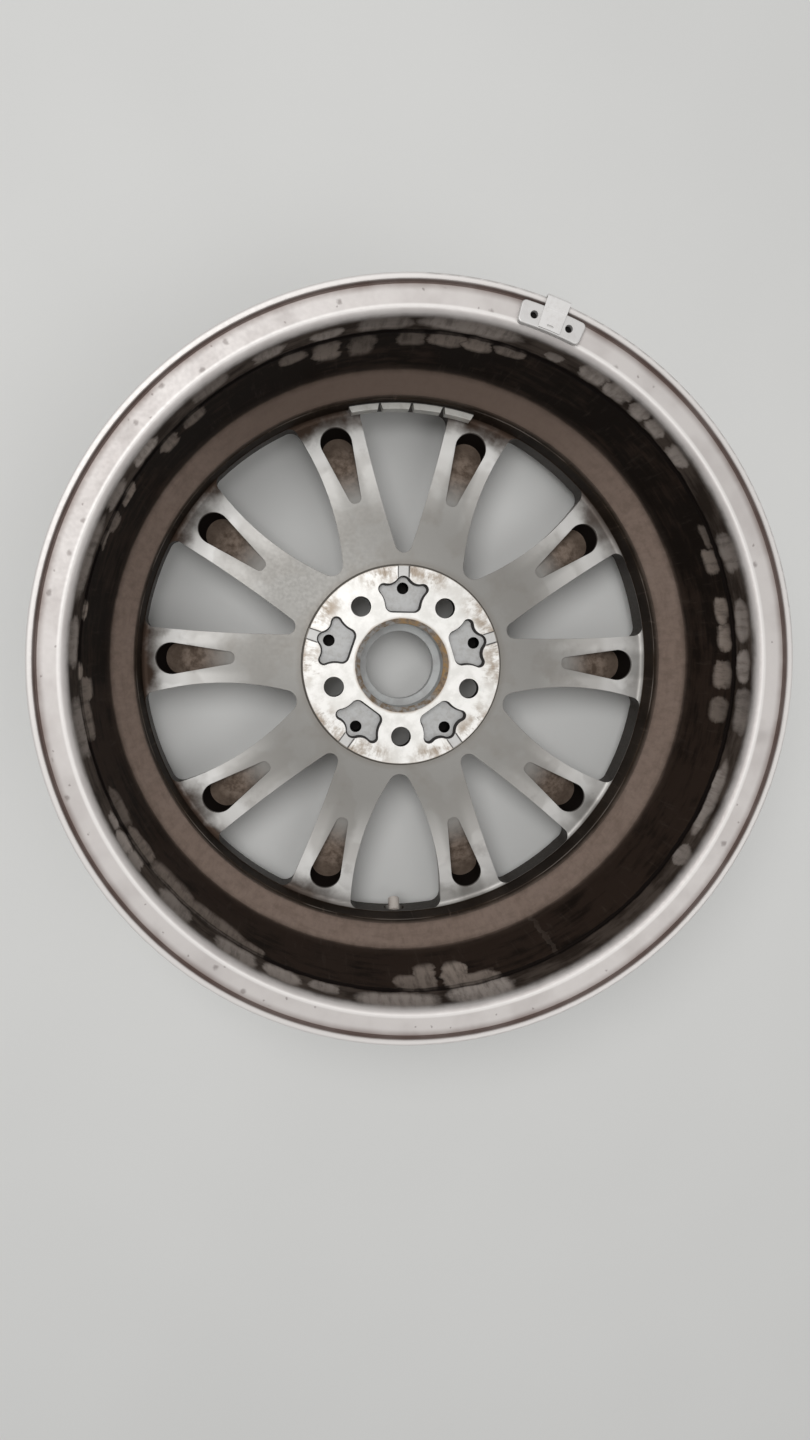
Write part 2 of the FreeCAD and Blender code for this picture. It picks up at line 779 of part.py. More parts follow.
def valve_pieces():
    spot = dims.valve_spot
    nut_seat = spot + dims.valve_wall
    stem = dims.stem_diameter / 2
    head_top = spot - dims.grommet_flange
    head_end = head_top - dims.stem_head
    stem_end = spot + dims.stem_length
    valve_turning(
        "valve_stem",
        [
            (dims.stem_bore / 2, head_end),
            (dims.stem_head_diameter / 2, head_end),
            (dims.stem_head_diameter / 2, head_top),
            (stem, head_top),
            (stem, stem_end),
            (dims.stem_bore / 2, stem_end),
        ],
    )
    valve_turning(
        "valve_grommet",
        [
            (stem + dims.fit, head_top),
            (dims.grommet_diameter / 2, head_top),
            (dims.grommet_diameter / 2, spot),
            (dims.valve_hole / 2 - dims.fit, spot),
            (dims.valve_hole / 2 - dims.fit, spot + dims.grommet_neck),
            (stem + dims.fit, spot + dims.grommet_neck),
        ],
    )
    washer_top = nut_seat + dims.washer_thickness
    washer_edge = dims.washer_diameter / 2
    valve_turning("valve_washer", ring_section(stem + dims.fit, washer_edge, nut_seat, washer_top))
    valve_nut(washer_top)
    cap_end = stem_end + dims.cap_roof
    cap_start = cap_end - dims.cap_length
    valve_turning(
        "valve_cap",
        [
            (stem + dims.fit, cap_start),
            (dims.cap_outer / 2, cap_start),
            (dims.cap_outer / 2, cap_end),
            (ZERO, cap_end),
            (ZERO, stem_end),
            (stem + dims.fit, stem_end),
        ],
    )
    core_radius = dims.valve_core_diameter / 2
    core_start = stem_end - dims.valve_core_length
    valve_turning("valve_core", ring_section(ZERO, core_radius, core_start, stem_end))


def valve_nut(seat):
    body = new_body("valve_nut")
    sketch = new_sketch(body, "valve_nut_outline", origin_part(body, "XY_Plane"))
    corner = dims.nut_flats / 2 / cosine(as_size(30))
    corners = [(corner * cosine(as_size(turn)), corner * sine(as_size(turn))) for turn in range(0, 360, 60)]
    outline(sketch, corners)
    circle(sketch, ZERO, ZERO, dims.stem_diameter / 2 + dims.fit)
    sketch.AttachmentOffset = Placement(Vector(0, 0, seat.value), Rotation())
    bind(sketch, "AttachmentOffset.Base.z", seat)
    extrude(body, sketch, "valve_nut_hexagon", dims.nut_height)
    return place_on_valve(body)


# The stick-on weight: blocks on one strip of tape, on the wall beside the spokes


def ring_block(body, name, outer, outer_half, inner, inner_half):
    """Outline between two arcs about the axis, symmetrical about X, with a half length for each arc."""
    sketch = new_sketch(body, name, origin_part(body, "XY_Plane"))
    corners = []
    for radius, half in ((outer, outer_half), (inner, inner_half)):
        x = root(radius * radius - half * half)
        corners.append((flat(x, -half), flat(x, half)))
        sketch.addGeometry(arc(Vector(0, 0, 0), radius.value, *corners[-1]))
    sketch.addGeometry(Part.LineSegment(corners[0][1], corners[1][1]))
    sketch.addGeometry(Part.LineSegment(corners[1][0], corners[0][0]))
    for edge, radius, half in ((0, outer, outer_half), (1, inner, inner_half)):
        sketch.addConstraint(Sketcher.Constraint("Coincident", edge, CENTRE, -1, START))
        constrain(sketch, radius, "Radius", edge)
        constrain(sketch, -half, "DistanceY", -1, 1, edge, START)
        constrain(sketch, half, "DistanceY", -1, 1, edge, END)
    corner_pairs = ((0, END, 2, START), (1, END, 2, END), (1, START, 3, START), (0, START, 3, END))
    for pair in corner_pairs:
        sketch.addConstraint(Sketcher.Constraint("Coincident", *pair))
    return sketch


def turn_about_axis(body, height, angle):
    body.Placement = Placement(Vector(0, 0, 0), Rotation(Vector(0, 0, 1), 1))
    bind(body, "Placement.Base.z", height)
    bind(body, "Placement.Rotation.Angle", angle)
    doc.recompute()
    return body


TAPE_OUTER = WALL_RADIUS - dims.fit
BLOCK_OUTER = TAPE_OUTER - dims.tape_thickness
STICK_FOOT = TOP - dims.stick_depth - dims.stick_height


def weight_block(number):
    body = new_body(f"weight_block_{number + 1}")
    top_radius = BLOCK_OUTER - dims.stick_thickness
    half = dims.stick_length / 2
    top_half = dims.stick_top_length / 2
    sketch = ring_block(body, f"block_outline_{number + 1}", BLOCK_OUTER, half, top_radius, top_half)
    extrude(body, sketch, f"block_{number + 1}", dims.stick_height)

    def on_inner_face(edge):
        return all(math.hypot(v.X, v.Y) < top_radius.value + TOUCH for v in edge.Vertexes)

    dress(body, "Fillet", f"block_edges_{number + 1}", edge_names(body, on_inner_face), dims.stick_edge)
    angle = dims.stick_first_angle - dims.stick_pitch * number
    return turn_about_axis(body, STICK_FOOT, angle)


def weight_tape():
    body = new_body("weight_tape")
    half_turn = dims.stick_pitch * (dims.stick_count - 1) / 2
    lead = half_turn + dims.stick_length * 90 / math.pi / BLOCK_OUTER
    half = TAPE_OUTER * sine(lead)
    inner = BLOCK_OUTER + dims.fit / 2
    sketch = ring_block(body, "tape_outline", TAPE_OUTER, half, inner, inner * sine(lead))
    extrude(body, sketch, "tape_strip", dims.stick_height - dims.tape_margin * 2)
    return turn_about_axis(body, STICK_FOOT + dims.tape_margin, dims.stick_first_angle - half_turn)


# The clip-on weight: a curved block on the face of the upper flange and a spring clip over its lip

CLIP_SEAT = FACE_HEIGHT + dims.fit
CLIP_TOP = CLIP_SEAT + dims.clip_weight_thickness
CLIP_INNER = FACE_RADIUS - dims.clip_weight_width


def clip_weight():
    body = new_body("clip_weight")
    sketch = new_sketch(body, "clip_weight_section", origin_part(body, "XZ_Plane"))
    outline(sketch, ring_section(CLIP_INNER, FACE_RADIUS, CLIP_SEAT, CLIP_TOP))
    revolve(body, sketch, "clip_weight_arc", angle=dims.clip_weight_span)

    def is_upright(edge):
        first, last = edge.Vertexes[0].Point, edge.Vertexes[-1].Point
        return abs(first.z - last.z) > TOUCH

    def is_on_top(edge):
        return all(vertex.Z > CLIP_TOP.value - TOUCH for vertex in edge.Vertexes)

    dress(body, "Fillet", "clip_weight_corners", edge_names(body, is_upright), dims.clip_weight_round)
    dress(body, "Fillet", "clip_weight_edges", edge_names(body, is_on_top), dims.clip_weight_edge)
    holes = new_sketch(body, "clip_weight_hole_outlines", origin_part(body, "XY_Plane"))
    for side in (-1, 1):
        angle = dims.clip_hole_angle * side
        x = dims.clip_hole_reach * cosine(angle)
        y = dims.clip_hole_reach * sine(angle)
        circle(holes, x, y, dims.clip_hole / 2)
    extrude(body, holes, "clip_weight_holes", CLIP_TOP + dims.clip_strip, "PartDesign::Pocket", reverse=True)
    return turn_about_axis(body, ZERO, dims.clip_angle)


def clip_hook(gap):
    """Section points where one side of the strip bends in and ends, at a gap from the flange's curve."""
    curve = dims.flange_width - dims.tip_width
    middle = (TIP_RADIUS - curve, UPPER_HEEL + curve)
    reach = curve + gap
    angle = dims.clip_hook_angle
    bend = (middle[0] + reach, middle[1] - reach * sine(angle / 2) / cosine(angle / 2))
    end = (middle[0] + reach * cosine(angle), middle[1] - reach * sine(angle))
    return [bend, end]


def spring_clip():
    """A bent strip: flat on the weight, raised over the lip, and hooked round the tip of the flange."""
    body = new_body("spring_clip")
    sketch = new_sketch(body, "spring_clip_section", origin_part(body, "XZ_Plane"))
    strip = dims.clip_strip
    skirt = TIP_RADIUS + dims.clip_fit
    tab_end = CLIP_INNER + dims.clip_weight_edge
    bend = FACE_RADIUS - dims.clip_weight_edge
    raised = CLIP_TOP + dims.clip_bulge
    outline(
        sketch,
        [
            (tab_end, CLIP_TOP),
            (bend, CLIP_TOP),
            (bend + strip, raised),
            (skirt - strip, raised),
            (skirt, raised - strip),
            *clip_hook(dims.clip_fit),
            *reversed(clip_hook(dims.clip_fit + strip)),
            (skirt + strip, raised - strip / 2),
            (skirt - strip / 2, raised + strip),
            (bend + strip / 2, raised + strip),
            (bend - strip / 2, CLIP_TOP + strip),
            (tab_end, CLIP_TOP + strip),
        ],
    )
    revolve(body, sketch, "spring_clip_arc", angle=dims.clip_span)
    slot = new_sketch(body, "spring_clip_slot_outline", origin_part(body, "XY_Plane"))
    slot_round = dims.clip_slot_width / 2
    slot_reach = tab_end + dims.clip_slot_margin
    slot_half = dims.clip_slot_length / 2 - slot_round
    belt(slot, [(slot_reach, -slot_half, slot_round), (slot_reach, slot_half, slot_round)], [None, None])
    extrude(body, slot, "spring_clip_slot", raised + strip, "PartDesign::Pocket", reverse=True)
    return turn_about_axis(body, ZERO, dims.clip_angle)


# Build everything, test it, and write one file for each piece

cast_wheel()
valve_pieces()
for block in range(SIZES["stick_count"]):
    weight_block(block)
weight_tape()
clip_weight()
spring_clip()
doc.recompute()

failed = [item.Name for item in doc.Objects if {"Invalid", "Error"} & set(item.State)]
if failed:
    raise RuntimeError(f"these objects failed: {failed}")
bodies = [item for item in doc.Objects if item.TypeId == "PartDesign::Body"]
for body in bodies:
    if body.Shape.isNull() or not body.Shape.isValid() or len(body.Shape.Solids) != 1:
        raise RuntimeError(f"{body.Label} is not one valid solid")

os.makedirs("parts", exist_ok=True)
for body in bodies:
    body.Shape.exportStep(os.path.join("parts", f"{body.Label}.step"))
    print(f"{body.Label}: {body.Shape.Volume / 1000:.2f} cm3, {len(body.Shape.Faces)} faces")
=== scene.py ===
import math

import bpy
from mathutils import Matrix, Vector


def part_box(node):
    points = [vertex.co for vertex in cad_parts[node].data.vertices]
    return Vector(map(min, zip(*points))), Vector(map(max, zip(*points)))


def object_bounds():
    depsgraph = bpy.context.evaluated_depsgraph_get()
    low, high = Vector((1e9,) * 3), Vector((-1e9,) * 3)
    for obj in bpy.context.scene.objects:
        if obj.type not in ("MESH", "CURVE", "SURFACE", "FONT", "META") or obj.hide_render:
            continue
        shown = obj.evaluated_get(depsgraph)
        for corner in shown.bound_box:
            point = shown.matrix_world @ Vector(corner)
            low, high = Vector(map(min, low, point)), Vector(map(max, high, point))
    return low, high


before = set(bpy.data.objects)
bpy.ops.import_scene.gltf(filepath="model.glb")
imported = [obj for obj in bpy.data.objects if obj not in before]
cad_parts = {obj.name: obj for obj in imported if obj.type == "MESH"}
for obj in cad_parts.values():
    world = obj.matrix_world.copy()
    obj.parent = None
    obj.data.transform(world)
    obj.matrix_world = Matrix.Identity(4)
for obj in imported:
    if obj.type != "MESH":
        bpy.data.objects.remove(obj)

# A cast alloy car wheel, lying face down on a pale floor, seen from above.
# Lengths on the wheel are millimetres and angles are degrees. The floor and the lamps are placed in metres.

cad_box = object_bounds()
MM = 0.001
DEGREE = math.pi / 180
WHEEL_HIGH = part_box("wheel")[1]
TOP = WHEEL_HIGH.z / MM
FLANGE_RADIUS = WHEEL_HIGH.y / MM

# Flange and barrel: radii, and depths below the upper edge, where one finish ends and the next begins
GROOVE_OUTER = FLANGE_RADIUS - 4.1
GROOVE_INNER = FLANGE_RADIUS - 6.5
FACE_INNER = 229.0
FACE_DEPTH = 3.4
STEP_DEPTH = 36.0
BARREL_DEPTH = 111.2
CONE_DEPTH = 134.5
TURNED_DEPTH = 144.5
WALL_RADIUS = 206.8

# Tyre side and front: heights of the two tyre seats, heights between which the front starts, and radii of
# the corner behind its lip
REAR_SEAT = (112.0, 134.0)
FRONT_SEAT = (-54.0, -32.0)
FRONT_STARTS = (-30.0, -25.0)
LIP_CORNER = (208.0, 212.0)

# Hub: the raised pad, its star pockets and their vents, and the bore
PAD_RADIUS = 79.2
PAD_FOOT = 80.7
PAD_HEIGHT = 3.5
STAR_DEPTH = 8.0
VENT_HALF = 4.5
VENT_START = 70.5
BORE_RADIUS = 33.55
BORE_CHAMFER = 4.1
BORE_EDGE = BORE_RADIUS + BORE_CHAMFER

# Spokes: depth of their roots, and radii between which a painted highlight brightens their rails, a painted
# glint shows, and they turn brown with dust
SPOKE_ROOT_DEPTH = 20.2
RAIL_HIGHLIGHT_RADII = (108.0, 180.0)
SPOKE_GLINTS = (176.0, 186.0)
SPOKE_BROWNS = (187.0, 206.0)
WINDOW_WALL = (196.0, 204.0)
# Rails beside the teardrop pockets, which carry the painted highlight: the shift of their middle from the
# spoke's, and where they start and end
RAIL_SHIFT = 3.0
RAIL_SIDES = (7.0, 14.0)
# Teardrop pockets: radii of their ends, radii and half widths of their taper, the shift of their middle, and
# radii between which the paint stops showing and the floor darkens
POCKET_ENDS = (128.0, 196.0)
POCKET_TAPER = (130.0, 186.0)
POCKET_HALVES = (7.0, 15.5)
POCKET_SHIFT = 3.2
POCKET_PALES = (134.0, 164.0)
POCKET_DARKENS = (170.0, 184.0)

# Angles: from one pair of spokes to the next, a star pocket, a stud hole, the middle of the side where the
# spoke roots are darkest, and the middle of the clip-on weight with half of what it shades
SPOKE_PITCH = 72.0
STAR_ANGLE = 90.0
STUD_ANGLE = -90.0
DARK_ROOTS_ANGLE = 144.0
CLIP_ANGLE = 71.35
CLIP_HALF = 4.4
# Gold-coloured stains in the bore: first and last angle of each, and its soft edge
GOLD_SIDES = [(-32.0, 38.0, 14.0), (72.0, 92.0, 8.0)]

# Finger wipes in the brake dust inside the barrel, seen in the photograph.
# Each has its angle, its width in degrees, the depths of its upper and lower end, and how clear it is.
UPPER_WIPES = [
    (354.0, 9.0, 6.0, 32.0, 0.5),
    (337.5, 15.0, 15.0, 36.0, 0.8),
    (326.0, 4.0, 8.0, 37.0, 0.6),
    (282.0, 13.0, 2.0, 39.0, 0.9),
    (267.0, 16.0, 2.0, 33.0, 0.75),
    (254.0, 6.0, 13.0, 34.0, 0.7),
    (246.0, 8.0, 7.0, 34.0, 0.85),
    (237.0, 9.0, 2.0, 34.0, 0.7),
    (224.0, 8.0, 2.0, 37.0, 0.6),
    (214.0, 3.5, 5.0, 33.0, 0.8),
    (210.5, 5.0, 5.0, 33.0, 1.0),
    (206.5, 3.5, 13.0, 33.0, 0.9),
    (190.0, 11.0, 2.0, 39.0, 0.6),
    (176.0, 9.0, 4.0, 33.0, 0.7),
    (162.0, 15.0, 2.0, 31.0, 0.55),
    (151.0, 6.0, 4.0, 33.0, 0.6),
    (142.5, 6.0, 4.0, 33.0, 0.95),
    (128.0, 8.0, 4.0, 31.0, 0.4),
    (117.0, 6.0, 8.0, 32.0, 0.65),
    (107.0, 6.0, 14.0, 34.0, 0.7),
    (97.0, 10.0, 4.0, 34.0, 0.45),
    (83.0, 18.0, 2.0, 34.0, 0.7),
    (68.0, 3.0, 16.0, 33.0, 0.6),
    (61.0, 5.0, 4.0, 33.0, 0.9),
    (56.0, 5.5, 4.0, 33.0, 0.9),
    (51.0, 4.0, 6.0, 34.0, 1.0),
    (47.0, 4.0, 6.0, 34.0, 0.9),
    (41.0, 5.0, 9.0, 35.0, 0.9),
    (22.0, 8.0, 6.0, 33.0, 0.6),
    (10.0, 8.0, 10.0, 34.0, 0.7),
    (2.0, 6.0, 12.0, 34.0, 0.8),
]
# The first of these is a faint scratch down the whole barrel.
LOWER_WIPES = [
    (297.5, 1.2, -20.0, 140.0, 0.1),
    (282.5, 8.0, 28.0, 53.0, 0.75),
    (278.5, 5.0, 28.0, 79.0, 1.0),
    (273.0, 4.5, 30.0, 80.0, 0.8),
    (269.5, 6.0, 30.0, 62.0, 0.65),
    (240.0, 5.0, 30.0, 49.0, 0.6),
    (232.0, 14.0, 20.0, 59.0, 0.6),
    (222.0, 12.0, 16.0, 62.0, 0.65),
    (213.0, 8.0, 30.0, 59.0, 0.7),
    (205.5, 8.0, 32.0, 60.0, 0.5),
    (189.0, 8.0, 26.0, 54.0, 0.65),
    (184.0, 4.5, 28.0, 64.0, 0.75),
    (181.0, 3.5, 24.0, 42.0, 1.0),
    (170.5, 4.0, 32.0, 43.0, 1.0),
    (158.0, 3.5, 32.0, 44.0, 0.6),
    (155.0, 4.0, 32.0, 55.0, 0.6),
    (149.5, 4.0, 33.0, 52.0, 0.9),
    (138.5, 4.5, 32.0, 62.0, 0.75),
    (132.5, 5.0, 32.0, 57.0, 0.55),
    (113.0, 5.5, 34.0, 57.0, 0.55),
    (107.0, 6.0, 34.0, 75.0, 0.7),
    (100.5, 5.5, 34.0, 76.0, 0.45),
    (92.0, 5.5, 32.0, 63.0, 0.45),
    (86.0, 6.5, 32.0, 61.0, 0.7),
    (80.5, 5.5, 32.0, 60.0, 0.8),
    (75.0, 5.5, 34.0, 52.0, 0.7),
    (26.0, 5.0, 36.0, 49.0, 0.45),
    (21.0, 5.5, 35.0, 59.0, 0.8),
    (12.0, 5.5, 36.0, 59.0, 1.0),
    (7.0, 5.5, 36.0, 60.0, 1.0),
    (0.0, 5.5, 36.0, 67.0, 0.85),
    (353.5, 5.5, 36.0, 67.0, 0.6),
]
# An angle with no wipe, where the count round the barrel starts
WIPE_SEAM = 312.0
# A wipe that doesn't show, for the empty places in the last set of three
NO_WIPE = (0.0, 1.0, -20.0, -19.0, 0.0)


# Node graphs


def srgb(red, green, blue):
    """A colour as it shows on screen, from 0 to 255, in the linear numbers that shaders take."""

    def linear(level):
        level = level / 255
        return level / 12.92 if level <= 0.04045 else ((level + 0.055) / 1.055) ** 2.4

    return (linear(red), linear(green), linear(blue), 1.0)


class Graph:
    """A node material made by short calls. Each value is a number, a colour or the socket of a node."""

    def __init__(self, name, **settings):
        self.material = bpy.data.materials.new(name)
        self.material.use_nodes = True
        self.tree = self.material.node_tree
        self.shader = self.tree.nodes["Principled BSDF"]
        for socket, value in settings.items():
            self.shader.inputs[socket.replace("_", " ")].default_value = value

    def put(self, socket, value):
        if isinstance(value, bpy.types.NodeSocket):
            self.tree.links.new(value, socket)
        else:
            socket.default_value = value

    def node(self, kind, inputs, **settings):
        made = self.tree.nodes.new(kind)
        for name, value in settings.items():
            setattr(made, name, value)
        for key, value in inputs.items():
            self.put(made.inputs[key], value)
        return made

    def math(self, operation, *values):
        return self.node("ShaderNodeMath", dict(enumerate(values)), operation=operation).outputs[0]

    def add(self, first, second):
        return self.math("ADD", first, second)

    def less(self, first, second):
        return self.math("SUBTRACT", first, second)

    def times(self, *values):
        product = values[0]
        for value in values[1:]:
            product = self.math("MULTIPLY", product, value)
        return product

    def either(self, *masks):
        widest = masks[0]
        for mask in masks[1:]:
            widest = self.math("MAXIMUM", widest, mask)
        return widest

    def opposite(self, mask):
        return self.less(1.0, mask)

    def rise(self, value, start, end, low=0.0, high=1.0):
        """A smooth step from low to high while the value goes from start to end."""
        inputs = {"Value": value, "From Min": start, "From Max": end, "To Min": low, "To Max": high}
        return self.node("ShaderNodeMapRange", inputs, interpolation_type="SMOOTHSTEP").outputs[0]

    def band(self, value, start, end, soft):
        """1 between start and end, fading to 0 over a soft edge outside."""
        inside = self.rise(value, start - soft, start)
        return self.times(inside, self.rise(value, end, end + soft, 1.0, 0.0))

    def mix(self, factor, first, second):
        inputs = {"Factor": factor, "A": first, "B": second}
        made = self.tree.nodes.new("ShaderNodeMix")
        made.data_type = "RGBA"
        for socket in made.inputs:
            if socket.name in inputs and socket.type == ("VALUE" if socket.name == "Factor" else "RGBA"):
                self.put(socket, inputs[socket.name])
        return next(socket for socket in made.outputs if socket.type == "RGBA")

    def blend(self, factor, first, second):
        """A number between two numbers."""
        return self.add(self.times(self.opposite(factor), first), self.times(factor, second))

    def stretch(self, vector, x, y, z):
        return self.vector_math("MULTIPLY", vector, (x, y, z))

    def noise(self, vector, size, detail=3.0, roughness=0.55):
        """Noise with blobs of about the given size in millimetres."""
        inputs = {"Vector": vector, "Scale": 1.0 / size, "Detail": detail, "Roughness": roughness}
        return self.node("ShaderNodeTexNoise", inputs).outputs[0]

    def vector(self, x, y=0.0, z=0.0):
        return self.node("ShaderNodeCombineXYZ", {0: x, 1: y, 2: z}).outputs[0]

    def vector_math(self, operation, *vectors):
        return self.node("ShaderNodeVectorMath", dict(enumerate(vectors)), operation=operation).outputs[0]

    def spots(self, vector, spacing, radius, share):
        """Soft round spots in a share of the cells of a flat pattern."""
        inputs = {"Vector": vector, "Scale": 1.0 / spacing}
        cells = self.node("ShaderNodeTexVoronoi", inputs, voronoi_dimensions="2D")
        inside = self.rise(cells.outputs["Distance"], radius / spacing * 0.3, radius / spacing, 1.0, 0.0)
        chance = self.node("ShaderNodeSeparateXYZ", {0: cells.outputs["Color"]}).outputs[0]
        return self.times(inside, self.math("LESS_THAN", chance, share))

    def place(self):
        """The surface point in millimetres, and its x, y and z."""
        coordinates = self.node("ShaderNodeTexCoord", {}).outputs["Object"]
        point = self.stretch(coordinates, 1 / MM, 1 / MM, 1 / MM)
        return (point, *self.node("ShaderNodeSeparateXYZ", {0: point}).outputs)

    def normal(self):
        """The x, y and z of the surface's direction."""
        direction = self.node("ShaderNodeTexCoord", {}).outputs["Normal"]
        return self.node("ShaderNodeSeparateXYZ", {0: direction}).outputs

    def bump(self, height, distance, edge=0.5):
        """Relief of a height in millimetres, on edges that are slightly rounded."""
        rounded = self.node("ShaderNodeBevel", {"Radius": edge * MM}, samples=4).outputs[0]
        inputs = {"Height": height, "Distance": distance * MM, "Normal": rounded}
        return self.node("ShaderNodeBump", inputs).outputs[0]

    def finish(self, colour, roughness, normal=None, metallic=None):
        self.put(self.shader.inputs["Base Color"], colour)
        self.put(self.shader.inputs["Roughness"], roughness)
        if metallic is not None:
            self.put(self.shader.inputs["Metallic"], metallic)
        if normal is not None:
            self.put(self.shader.inputs["Normal"], normal)
        return self.material


# The finish of the casting, zone by zone


SILVER = srgb(196, 193, 191)
SPOKE_GREY = srgb(152, 150, 146)
SPOKE_BRIGHT = srgb(228, 226, 222)
SPOKE_GLINT = srgb(250, 249, 246)
SPOKE_SMUDGE = srgb(136, 131, 124)
ROOT_STAIN_AND_WALL_SHADE = srgb(74, 60, 51)
FACE_SILVER = srgb(194, 189, 186)
FACE_CLOUD = srgb(178, 172, 169)
FACE_HIGHLIGHT = srgb(214, 210, 207)
GROOVE_DIRT_AND_SHADE = srgb(104, 88, 82)
PIT = srgb(116, 108, 105)
MACHINED = srgb(236, 234, 230)
MACHINED_DULL = srgb(204, 202, 196)
STAIN = srgb(150, 132, 113)
SCORE = srgb(106, 92, 80)
STAR_GREY = srgb(178, 178, 177)
STAR_WALL_SHADE_AND_DIRT = srgb(58, 54, 52)
HOLE_SHADE = srgb(24, 22, 21)
BORE_BROWN = srgb(140, 120, 98)
GOLD = srgb(184, 142, 80)
LEDGE_GREY = srgb(196, 198, 197)
FILM = srgb(26, 18, 13)
FILM_PALE = srgb(52, 40, 33)
LINE_GRIME = srgb(18, 13, 11)
MOUTH_GREY = srgb(86, 76, 69)
MOUTH_DARK = srgb(50, 41, 35)
UPPER_WIPED = srgb(206, 195, 187)
LOWER_WIPED = srgb(182, 168, 157)
TAUPE = srgb(146, 128, 117)
TAUPE_DARK = srgb(120, 104, 94)
TAUPE_PALE = srgb(156, 139, 129)
WALL_GRIME = srgb(48, 39, 31)
WALL_PALE = srgb(76, 64, 54)
EDGE_WEAR = srgb(150, 142, 136)
POCKET_DUST = srgb(138, 123, 111)
POCKET_DARK = srgb(92, 79, 69)
POCKET_SHADOW = srgb(22, 18, 16)
RUBBER_MARK = srgb(86, 82, 79)

CLEAN_ROUGHNESS = (0.44, 0.5)
PAD_ROUGHNESS = (0.36, 0.4)
DIRTY_ROUGHNESS = 0.66
CLEAN_METALLIC = 0.3
LINE_WAVES = 9.0
RELIEF = 0.01


def wipe_marks(graph, turn, depth, wipes):
    """How clear the finger wipes are at each place. A vector node works on three of them at a time."""
    turns = graph.vector(turn, turn, turn)
    depths = graph.vector(depth, depth, depth)
    clear = 0.0
    for first in range(0, len(wipes), 3):
        trio = wipes[first : first + 3]
        trio = trio + [NO_WIPE] * (3 - len(trio))
        angles, widths, tops, ends, strengths = zip(*trio)
        wide = [2 / width for width in widths]
        tall = [2 / (end - top) for top, end in zip(tops, ends)]
        turned = [-((angle - WIPE_SEAM) % 360) * scale for angle, scale in zip(angles, wide)]
        sunk = [-(top + end) / 2 * scale for top, end, scale in zip(tops, ends, tall)]
        across = graph.vector_math("MULTIPLY_ADD", turns, wide, turned)
        across = graph.vector_math("MULTIPLY", across, across)
        down = graph.vector_math("MULTIPLY_ADD", depths, tall, sunk)
        fresh = graph.vector_math("MULTIPLY_ADD", down, (0.25, 0.25, 0.25), (0.75, 0.75, 0.75))
        down = graph.vector_math("MULTIPLY", down, down)
        reach = graph.vector_math("MULTIPLY_ADD", across, across, down)
        # From 1 to 0 while the reach goes from 0.2 to 1.1. The node's sockets for vectors are 7 to 10.
        inputs = {"Vector": reach, 7: (0.2, 0.2, 0.2), 8: (1.1, 1.1, 1.1), 9: (1, 1, 1), 10: (0, 0, 0)}
        settings = {"data_type": "FLOAT_VECTOR", "interpolation_type": "SMOOTHSTEP"}
        inside = graph.node("ShaderNodeMapRange", inputs, **settings).outputs["Vector"]
        inside = graph.vector_math("MULTIPLY", inside, fresh)
        inside = graph.stretch(inside, *strengths)
        clear = graph.either(clear, *graph.node("ShaderNodeSeparateXYZ", {0: inside}).outputs)
    return clear


